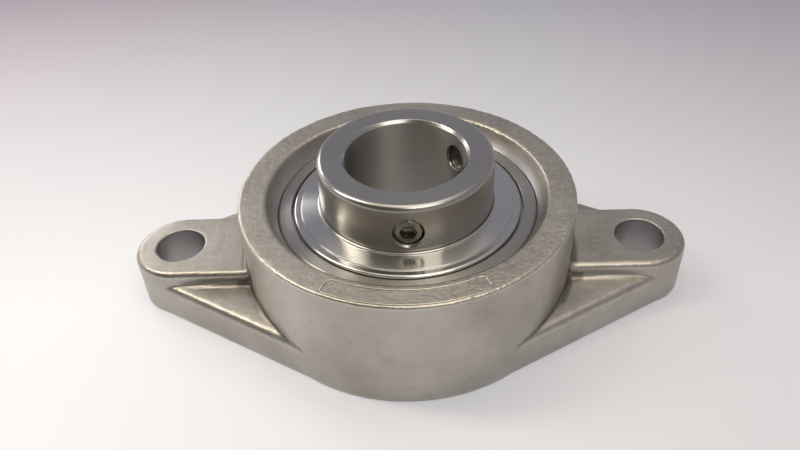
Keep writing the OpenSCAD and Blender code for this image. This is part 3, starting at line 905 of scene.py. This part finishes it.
vertices = []
for (x, y), (run_x, run_y) in zip(path, ahead):
    swell = 1
    for share, size, layer in bead_wander:
        swell += share * noise.noise(Vector((x, y, layer)) / size)
    for side in range(bead_sides):
        lean = 2 * math.pi * side / bead_sides
        sideways = bead_r * swell * math.cos(lean)
        rise = bead_r * swell * math.sin(lean) - bead_sunk
        vertices.append((x + run_y * sideways, y - run_x * sideways, hub_height + rise))
faces = []
for row in range(bead_steps):
    for side in range(bead_sides):
        here, there = row * bead_sides, (row + 1) % bead_steps * bead_sides
        over = (side + 1) % bead_sides
        faces.append((here + side, here + over, there + over, there + side))
panel_bead = new_piece("rim_panel_bead", vertices, faces)
panel_bead.data.materials.append(cast_satin)
# the bead's edges carry the same wear and painted highlight as the casting's edges
bead_wear_and_highlight_share = panel_bead.data.attributes.new("edge_share", "FLOAT", "POINT")
bead_wear_and_highlight_share.data.foreach_set("value", np.full(len(vertices), bead_wear_and_highlight, np.float32))
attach(panel_bead, body_of["housing"])
print(panel_bead.name, "has", len(faces), "faces")

# %% [markdown]
# ## Turned steel
# The rings and flingers are turned or ground, so their surfaces carry fine rings around the shaft. They are
# too fine to model, so the finish makes them: a noise that depends only on the distance from the axis and
# on the height has exactly such rings. The same rings stretch every highlight across them, and the shader
# does that with its anisotropy and a tangent that runs around the axis.

# %% Make turned finishes
def turned_finish(name, dark, bright, roughness, ring_scale, ring_depth, stretch):
    """Steel with fine rings around the z axis, which also stretch its highlights."""
    finish, tree, shader = new_finish(name)
    place = place_on(tree)
    axes = add_node(tree, "ShaderNodeSeparateXYZ", {0: place}).outputs
    flat = add_node(tree, "ShaderNodeCombineXYZ", {"X": axes["X"], "Y": axes["Y"]}).outputs[0]
    radius = add_node(tree, "ShaderNodeVectorMath", {0: flat}, operation="LENGTH").outputs["Value"]
    lathe = add_node(tree, "ShaderNodeCombineXYZ", {"X": radius, "Y": axes["Z"]}).outputs[0]
    rings = noise_over(tree, lathe, ring_scale, 3)
    haze = noise_over(tree, place, 70, 2)
    fill(tree, shader, {
        "Base Color": blended(tree, spread(tree, rings, 0.3, 0.7, 0, 1), dark, bright),
        "Roughness": spread(tree, haze, 0.3, 0.7, roughness * 0.92, roughness * 1.1),
        "Normal": bumped(tree, rings, ring_depth, 0.00004),
        "Tangent": add_node(tree, "ShaderNodeTangent", direction_type="RADIAL", axis="Z").outputs[0],
        "Metallic": 1.0, "Anisotropic": stretch, "Anisotropic Rotation": 0.25})
    return finish


turned_steel = turned_finish(
    "turned_steel", (0.52, 0.50, 0.47), (0.60, 0.58, 0.55),
    roughness=0.30, ring_scale=3600, ring_depth=0.10, stretch=0.94)
# its darker tone is painted shade on the ring's outer wall
ground_steel = turned_finish(
    "ground_steel", (0.43, 0.405, 0.365), (0.47, 0.445, 0.405),
    roughness=0.26, ring_scale=4200, ring_depth=0.03, stretch=0.82)
# its paler tone is painted light in the bore
honed_steel = turned_finish(
    "honed_steel", (0.58, 0.565, 0.535), (0.62, 0.605, 0.575),
    roughness=0.36, ring_scale=4200, ring_depth=0.03, stretch=0.90)
faced_steel = turned_finish(
    "faced_steel", (0.51, 0.50, 0.485), (0.54, 0.53, 0.515),
    roughness=0.24, ring_scale=4200, ring_depth=0.02, stretch=0.4)
bright_steel = turned_finish(
    "bright_spun_steel", (0.68, 0.675, 0.67), (0.70, 0.695, 0.69),
    roughness=0.17, ring_scale=2600, ring_depth=0.01, stretch=0.88)
print("turned finishes:", [finish.name for finish in bpy.data.materials if "steel" in finish.name])

# %% [markdown]
# ## Outer ring
# The outside of the outer ring is a slice of a ball, so that the insert can tilt in its seat. Inside it has
# a ball track with a shoulder at each side, and a step at each end for the seal. Only its front face shows,
# but the whole outline is drawn, because the spun mesh has to be closed.

# %% Draw the outer ring's outline
track_clearance = 0.1
track_depth = 2
seal_step = 1
pocket_clearance = 0.15
cage_sheet = 1
seal_air_gap = 0.5
face_chamfer = 0.35
face_edges = (0.12, 0.1)
groove_width = 2.0
groove_depth = 0.6
ball_side_steps = 40
lip_steps = 8
track_steps = 24

track_r = ball_r + track_clearance
outer_shoulder_r = pitch_r + ball_r - track_depth
seal_seat_r = outer_shoulder_r + seal_step
seal_low = ball_r + pocket_clearance + cage_sheet + seal_air_gap
groove_offset = (math.sqrt(track_r ** 2 - (outer_shoulder_r - pitch_r) ** 2) + seal_low) / 2
groove_start = groove_offset - groove_width / 2
groove_end = groove_offset + groove_width / 2
groove_r = math.sqrt(insert_r ** 2 - groove_offset ** 2) - groove_depth
groove_low = math.degrees(math.asin(groove_start / insert_r))
groove_high = math.degrees(math.asin(groove_end / insert_r))
track_angle = math.degrees(math.acos((outer_shoulder_r - pitch_r) / track_r))
face_r = math.sqrt(insert_r ** 2 - ring_half ** 2) - face_chamfer
chamfer_turn = math.asin((ring_half - face_chamfer) / insert_r)
chamfer_angle = math.degrees(chamfer_turn)
chamfer_foot = (insert_r * math.cos(chamfer_turn), insert_r * math.sin(chamfer_turn))
front_face = rounded([
    (seal_seat_r, seal_low, 0), (seal_seat_r, ring_half, face_edges[0]), (face_r, ring_half, face_edges[1]),
    (*chamfer_foot, 0)])
back_face = front_face[::-1] * (1, -1)
outer_outline = np.concatenate([
    arc((0, 0), insert_r, -chamfer_angle, groove_low, ball_side_steps)[1:],
    [(groove_r, groove_start), (groove_r, groove_end)],
    arc((0, 0), insert_r, groove_high, chamfer_angle, lip_steps)[:-1],
    front_face[::-1],
    [(outer_shoulder_r, seal_low)],
    arc((pitch_r, 0), track_r, track_angle, -track_angle, track_steps),
    [(outer_shoulder_r, -seal_low)],
    back_face[::-1]])
print("outer ring's outline:", len(outer_outline), "points")

# %% [markdown]
# Grease reaches the balls through two small holes in a groove around the ring. Each is drilled as on the
# real ring, by a thin rod that is cut away.

# %% Turn and drill the outer ring
grease_hole_r = 0.6
grease_hole_angles = (90, 210)
drill_end = insert_r + cut_over
drill_steps = 24
drill_outline = [(0, 0), (grease_hole_r, 0), (grease_hole_r, drill_end), (0, drill_end)]

outer_ring = spun("outer_ring_turned", outer_outline[::-1] + (0, ball_height))
for angle in np.radians(grease_hole_angles):
    drill = spun("drill", drill_outline, drill_steps)
    outwards = Vector((math.cos(angle), math.sin(angle), 0))
    drill.rotation_euler = outwards.to_track_quat("Z", "Y").to_euler()
    drill.location.z = (ball_height + groove_offset) * MM
    shaped_by(outer_ring, drill)
keep_flats(outer_ring)
put_in_place(outer_ring, "outer_ring", turned_steel)

# %% [markdown]
# ## Flingers
# A flinger is a thin bright ring pressed on the inner ring. It turns with the shaft and throws dirt off
# before it reaches the seal. It is spun from sheet: a collar with a turned-up lip, a shallow dish, a small
# step, a lower rim and a turned-down edge, so its outline is a line of even thickness. The dish leans a few
# degrees, so it mirrors the lamps high up where a flat one would mirror the ring's wall. The second one is
# the same outline turned over for the back.

# %% Spin the flingers
sheet_gauge = 0.8
fit_clearance = 0.02
flinger_lip = 0.4
flinger_dish = 0.8
flinger_step = 0.3
flinger_step_run = 0.12
flinger_rim_width = 2.2
skirt_lift = 0.1
sheared_edge = 0.1
bend_r = 0.75
inner_bend_r = 0.12
step_edge_r = 0.16
lip_rounding = 0.36

flinger_low, flinger_high = box_mm("upper_flinger")
flinger_r = flinger_high[0]
flinger_bore_r = inner_ring_r + fit_clearance
collar_r = flinger_bore_r + sheet_gauge
flinger_lip_top = flinger_high[2] - ball_height
flinger_top = flinger_lip_top - flinger_lip
dish_end = flinger_top - flinger_dish
rim_top = dish_end - flinger_step
flinger_collar_end = flinger_low[2] - ball_height
flinger_skirt_end = flinger_low[2] - ball_height + skirt_lift
flinger_step_r = flinger_r - flinger_rim_width
dish_start = flinger_top - flinger_dish * sheet_gauge / (flinger_step_r - flinger_bore_r)

flinger_outline = rounded([
    (flinger_bore_r, flinger_collar_end, sheared_edge),
    (collar_r, flinger_collar_end, sheared_edge),
    (collar_r, dish_start - sheet_gauge, inner_bend_r),
    (flinger_step_r - sheet_gauge, dish_end - sheet_gauge, inner_bend_r),
    (flinger_step_r + flinger_step_run - sheet_gauge, rim_top - sheet_gauge, inner_bend_r),
    (flinger_r - sheet_gauge, rim_top - sheet_gauge, inner_bend_r),
    (flinger_r - sheet_gauge, flinger_skirt_end, sheared_edge),
    (flinger_r, flinger_skirt_end, sheared_edge),
    (flinger_r, rim_top, bend_r),
    (flinger_step_r + flinger_step_run, rim_top, inner_bend_r),
    (flinger_step_r, dish_end, step_edge_r),
    (collar_r, dish_start, sheared_edge),
    (collar_r, flinger_lip_top, lip_rounding),
    (flinger_bore_r, flinger_lip_top, lip_rounding)])
for node, side in (("upper_flinger", 1), ("lower_flinger", -1)):
    outline = flinger_outline * (1, side) + (0, ball_height)
    flinger = spun(node + "_spun", outline[::side])
    keep_flats(flinger)
    put_in_place(flinger, node, bright_steel)

# %% [markdown]
# ## Threads
# Two set screws in the inner ring lock it to the shaft. Blender's Screw modifier can wind a section into a
# thread, but the winding then has to be joined to a core and closed at its ends. Seen another way, a thread
# is a wave that runs round a rod and climbs as it goes. So one function gives both the screw and the cutter
# for its hole: each point of a rod's grid gets a radius from the wave, and the rod's ends are shaped by a
# rule of their own.

# %% Cut a thread on a rod
thread_pitch = 1.05
thread_flat = 0.15
rod_steps = 72
rows_per_turn = 10


def threaded_rod(name, start, end, root_r, crest_r, limit, end_rows=(0,)):
    """A rod along z with a thread on it. limit shapes its ends, with extra rows at depths from each end."""
    heights = np.linspace(start, end, int((end - start) / thread_pitch * rows_per_turn))
    heights = np.unique(np.concatenate([heights, start + np.array(end_rows), end - np.array(end_rows)]))
    angles = 2 * math.pi * np.arange(rod_steps) / rod_steps
    wave = np.abs(((heights[:, None] / thread_pitch - angles[None, :] / (2 * math.pi)) % 1) * 2 - 1)
    share = np.clip((wave - thread_flat) / (1 - 2 * thread_flat), 0, 1)
    radii = limit(heights[:, None], root_r + (crest_r - root_r) * share)
    vertices = np.stack([radii * np.cos(angles), radii * np.sin(angles),
                         np.broadcast_to(heights[:, None], radii.shape)], 2).reshape(-1, 3)
    faces = []
    for row in range(len(heights) - 1):
        for i in range(rod_steps):
            j = (i + 1) % rod_steps
            faces.append((row * rod_steps + i, row * rod_steps + j,
                          (row + 1) * rod_steps + j, (row + 1) * rod_steps + i))
    top = (len(heights) - 1) * rod_steps
    faces.append(tuple(range(rod_steps))[::-1])
    faces.append(tuple(range(top, top + rod_steps)))
    return new_piece(name, vertices, faces)


print("thread of", thread_pitch, "mm pitch ready")

# %% [markdown]
# A screw is made along z and then turned to point away from the shaft, along the line of its own joint. The
# turn goes into the mesh itself, so that the piece has no rotation of its own and shares the frame's axes.
# Edges that turn sharply, such as those of the socket, are kept crisp.

# %% Aim a piece away from the shaft
sharp_turn = math.radians(32)


def aim_outwards(piece, outwards, height):
    """Turns a piece made along z so that it points away from the shaft, at a height."""
    piece.rotation_euler = Vector(outwards).to_track_quat("Z", "Y").to_euler()
    piece.location.z = height * MM
    bpy.context.view_layer.update()
    piece.data.transform(piece.matrix_world)
    piece.matrix_world = Matrix.Identity(4)


def crisp(piece):
    """Keeps edges that turn sharply crisp, and shades the rest smoothly."""
    piece.data.shade_smooth()
    piece.data.set_sharp_from_angle(angle=sharp_turn)


screw_nodes = ("set_screw_front", "set_screw_side")
screw_lines = {joint["child"]: -Vector(joint["axis"]) for joint in frame["joints"]
               if joint["child"] in screw_nodes}
screw_height = float(sum(box_mm("set_screw_front")[i][2] for i in (0, 1)) / 2)
print("screws point along", {node: [round(c, 3) for c in line] for node, line in screw_lines.items()})

# %% [markdown]
# ## Inner ring
# The inner ring is longer than the bearing, so that there is room for the set screws beyond the flinger.
# Its bore takes the shaft. The ring is spun from its outline with the ball track in it, and the two
# threaded holes are cut afterwards. The cutter widens at its outer end, which leaves a small countersink.

# %% Turn and tap the inner ring
bore_chamfer = 0.8
ring_rounding = 1.5
broken_edge = 0.3
wall_lead = 5
hole_root_r = 3.88
hole_crest_r = 4.0
countersink_r = 4.05
countersink_growth = 3
tap_start = bore_r - 3
tap_end = inner_ring_r + 2

half_track = math.degrees(math.acos((pitch_r - inner_ring_r) / track_r))
inner_outline = np.concatenate([
    rounded([
        (inner_ring_r, ball_height + wall_lead, 0),
        (inner_ring_r, inner_high[2], ring_rounding),
        (bore_r + bore_chamfer, inner_high[2], broken_edge),
        (bore_r, inner_high[2] - bore_chamfer, broken_edge),
        (bore_r, inner_low[2] + bore_chamfer, broken_edge),
        (bore_r + bore_chamfer, inner_low[2], broken_edge),
        (inner_ring_r, inner_low[2], ring_rounding),
        (inner_ring_r, ball_height - wall_lead, 0)])[1:-1],
    arc((pitch_r, ball_height), track_r, 180 + half_track, 180 - half_track, track_steps)])
inner_ring = spun("inner_ring_turned", inner_outline[::-1])


def countersunk(heights, radii):
    """Widens the cutter's outer end to the countersink."""
    surface = math.sqrt(inner_ring_r ** 2 - countersink_r ** 2)
    widened = np.clip(countersink_r + heights - surface, 0, countersink_r + countersink_growth)
    return np.maximum(radii, widened)


for line in screw_lines.values():
    tap = threaded_rod("tap", tap_start, tap_end, hole_root_r, hole_crest_r, countersunk)
    aim_outwards(tap, line, screw_height)
    shaped_by(inner_ring, tap)
print("inner ring:", len(inner_ring.data.polygons), "faces with both holes tapped")

# %% [markdown]
# The outside of the ring is ground, its ends are faced and its bore is honed, and each way of cutting mirrors the
# room in its own way. So each face takes the finish that goes with its place and direction. Their tones differ as
# well: the darker tone of the ground outside is painted shade, and the paler tone of the honed bore is painted
# light.

# %% Finish the inner ring
facing_limit = 0.55
bore_band = 0.1

crisp(inner_ring)
keep_flats(inner_ring)
put_in_place(inner_ring, "inner_ring", ground_steel)
inner_ring.data.materials.append(faced_steel)
inner_ring.data.materials.append(honed_steel)
for face in inner_ring.data.polygons:
    in_bore = face.center.xy.length < (bore_r + bore_band) * MM
    face.material_index = 1 if abs(face.normal.z) > facing_limit else 2 if in_bore else 0
print("faces in the bore:", sum(face.material_index == 2 for face in inner_ring.data.polygons))

# %% [markdown]
# ## Plain finishes
# The screws and the pieces inside the bearing need less than the turned steel: a noise that wanders between
# two tones and two degrees of gloss, with a fine grain. Each could be a tree of its own, but one function
# keeps them alike, so that they differ only by the values that it is given.

# %% Make a plain finish
def plain_finish(name, dark, bright, metal, low_gloss, high_gloss, scale, depth):
    """A finish that wanders between two tones and two degrees of gloss, with a fine grain."""
    finish, tree, shader = new_finish(name)
    grain = noise_over(tree, place_on(tree), scale, 4)
    fill(tree, shader, {
        "Base Color": blended(tree, grain, dark, bright),
        "Roughness": spread(tree, grain, 0.3, 0.7, low_gloss, high_gloss),
        "Normal": bumped(tree, grain, depth, 0.00005), "Metallic": metal})
    return finish


screw_finish = plain_finish(
    "dull_screw_steel", (0.33, 0.31, 0.275), (0.45, 0.43, 0.39), 1, 0.20, 0.30, 900, 0.15)
print("finish of the screws:", screw_finish.name)

# %% [markdown]
# ## Set screws
# A set screw has no head: it is a short threaded rod with a six-sided socket. Each end has a round edge
# and a short cone, behind which the thread starts, and it is this edge that catches the light around the
# socket. The socket is cut with a six-sided rod that ends in the cone that a drill leaves.

# %% Make the set screws
screw_root_r = 3.5
screw_crest_r = 3.85
screw_end_r = 3.05
screw_edge_r = 0.35
screw_lead = 0.55
screw_recess = 0.2
screw_tip_gap = 1
hole_edge_r = 3.95
socket_width = 4.0
socket_depth = 3.0
socket_cone = 0.9
hexagon_sides = 6

screw_tip = bore_r + screw_tip_gap
screw_end = math.sqrt(inner_ring_r ** 2 - hole_edge_r ** 2) - screw_recess
edge_turns = np.radians(np.linspace(0, 45, 7))
edge_drops = screw_edge_r * (1 - np.cos(edge_turns))
cone_start = screw_end_r + screw_edge_r * math.sin(edge_turns[-1]) - edge_drops[-1]
socket_r = socket_width / math.sqrt(3)
socket_floor = screw_end - socket_depth
key_end = screw_end + cut_over
key_outline = [(0, socket_floor - socket_cone), (socket_r, socket_floor), (socket_r, key_end), (0, key_end)]


def led_in(heights, radii):
    """Gives both ends of a screw a round edge and a short cone, behind which the thread starts."""
    from_end = np.minimum(heights - screw_tip, screw_end - heights)
    edge = screw_end_r + np.sqrt(np.clip(from_end * (2 * screw_edge_r - from_end), 0, None))
    lead = np.where(from_end < edge_drops[-1], edge, cone_start + from_end)
    return np.where(from_end < screw_lead, lead, np.minimum(radii, lead))


for node, line in screw_lines.items():
    screw = threaded_rod(
        node + "_threaded", screw_tip, screw_end, screw_root_r, screw_crest_r, led_in, edge_drops)
    shaped_by(screw, spun("key", key_outline, hexagon_sides))
    aim_outwards(screw, line, screw_height)
    crisp(screw)
    put_in_place(screw, node, screw_finish)

# %% [markdown]
# ## Grease nipple
# The nipple screws into the back of the hub. It is a small turned piece with a hexagon for the spanner. The
# hexagon is a six-sided rod whose corners are turned off to a cone, which leaves the curved edges that
# every nut has, and a small ball closes the hole in the tip.

# %% Turn the grease nipple
nipple_seat = hub_r - spot_depth
nipple_tip = nipple_high[1] - nipple_seat
nipple_thread_r = 3.0
nipple_thread_length = nipple_seat - nipple_low[1]
hexagon_width = 7.0
hexagon_height = 3.0
hexagon_bevel = 0.55
bevel_margin = 0.05
bevel_reach = 1
neck_r = 2.3
neck_length = 2.2
head_r = 3.25
head_rise = 0.95
head_fall = 1.9
tip_r = 1.8
mouth_r = 0.62
mouth_depth = 1.1
nipple_steps = 96

head_start = hexagon_height + neck_length
mouth_floor = nipple_tip - mouth_depth
nipple = spun("grease_nipple_turned", rounded([
    (0, -nipple_thread_length, 0), (nipple_thread_r, -nipple_thread_length, 0.3), (nipple_thread_r, 0, 0.1),
    (neck_r, 0, 0.1), (neck_r, head_start, 0.3), (head_r, head_start + head_rise, 0.25),
    (head_r, head_start + head_fall, 0.3), (tip_r, nipple_tip, 0.25), (mouth_r, nipple_tip, 0.12),
    (mouth_r, mouth_floor, 0), (0, mouth_floor, 0)])[::-1], nipple_steps)
hexagon_r = hexagon_width / math.sqrt(3)
hexagon = spun("hexagon", [
    (0, hexagon_height), (hexagon_r, hexagon_height), (hexagon_r, 0), (0, 0)], hexagon_sides)
cone_r = hexagon_width / 2 + bevel_margin
cone_foot_r = hexagon_width / 2 + bevel_reach
corner_cone = spun("corner_cone", [
    (0, hexagon_height), (cone_r, hexagon_height), (cone_foot_r, hexagon_height - hexagon_bevel),
    (cone_foot_r, hexagon_bevel), (cone_r, 0), (0, 0)], nipple_steps)
shaped_by(hexagon, corner_cone, "INTERSECT")
shaped_by(nipple, hexagon, "UNION")
aim_outwards(nipple, (0, 1, 0), grease_height)
nipple.data.transform(Matrix.Translation((0, nipple_seat * MM, 0)))
crisp(nipple)
print("nipple stands", round(nipple_tip, 2), "mm out of its spot")

# %% [markdown]
# The nipple was turned about its own line, so its fine lines depend on the place along that line alone. A
# picture of lines would have to be unwrapped on to the piece first. A noise along one axis needs no
# unwrapping and has no seam.

# %% Finish the grease nipple
nipple_finish, tree, shader = new_finish("turned_nipple_steel")
axes = add_node(tree, "ShaderNodeSeparateXYZ", {0: place_on(tree)}).outputs
along_nipple = add_node(tree, "ShaderNodeCombineXYZ", {"X": axes["Y"]}).outputs[0]
lines = noise_over(tree, along_nipple, 5200, 2)
fill(tree, shader, {
    "Base Color": blended(tree, lines, (0.56, 0.54, 0.50), (0.70, 0.68, 0.64)),
    "Roughness": spread(tree, lines, 0.3, 0.7, 0.16, 0.28),
    "Normal": bumped(tree, lines, 0.2, 0.00004), "Metallic": 1.0})
put_in_place(nipple, "grease_nipple", nipple_finish)

# %% [markdown]
# ## Inside the bearing
# The balls, the riveted cage and the seals sit behind the flingers. Their solids already have the right
# shape, so they stay and only get a finish: mirror-polished balls, dull pressed sheet and matt rubber.

# %% Finish the inner pieces
inner_finishes = {
    "ball_steel": plain_finish(
        "polished_balls", (0.72, 0.72, 0.71), (0.80, 0.80, 0.79), 1, 0.03, 0.07, 300, 0.02),
    "cage_steel": plain_finish(
        "pressed_cage", (0.50, 0.49, 0.47), (0.62, 0.61, 0.58), 1, 0.28, 0.44, 700, 0.2),
    "shield_steel": plain_finish(
        "pressed_shield", (0.46, 0.45, 0.44), (0.58, 0.57, 0.55), 1, 0.3, 0.46, 700, 0.2),
    "seal_rubber": plain_finish(
        "seal_rubber", (0.014, 0.014, 0.015), (0.03, 0.03, 0.03), 0, 0.6, 0.8, 1500, 0.35),
}
for node, solid in nodes.items():
    finish = inner_finishes.get(slot_of[node])
    if finish is not None:
        solid.data.materials.clear()
        solid.data.materials.append(finish)
print("finished in place:", sum(slot_of[node] in inner_finishes for node in nodes), "solids")
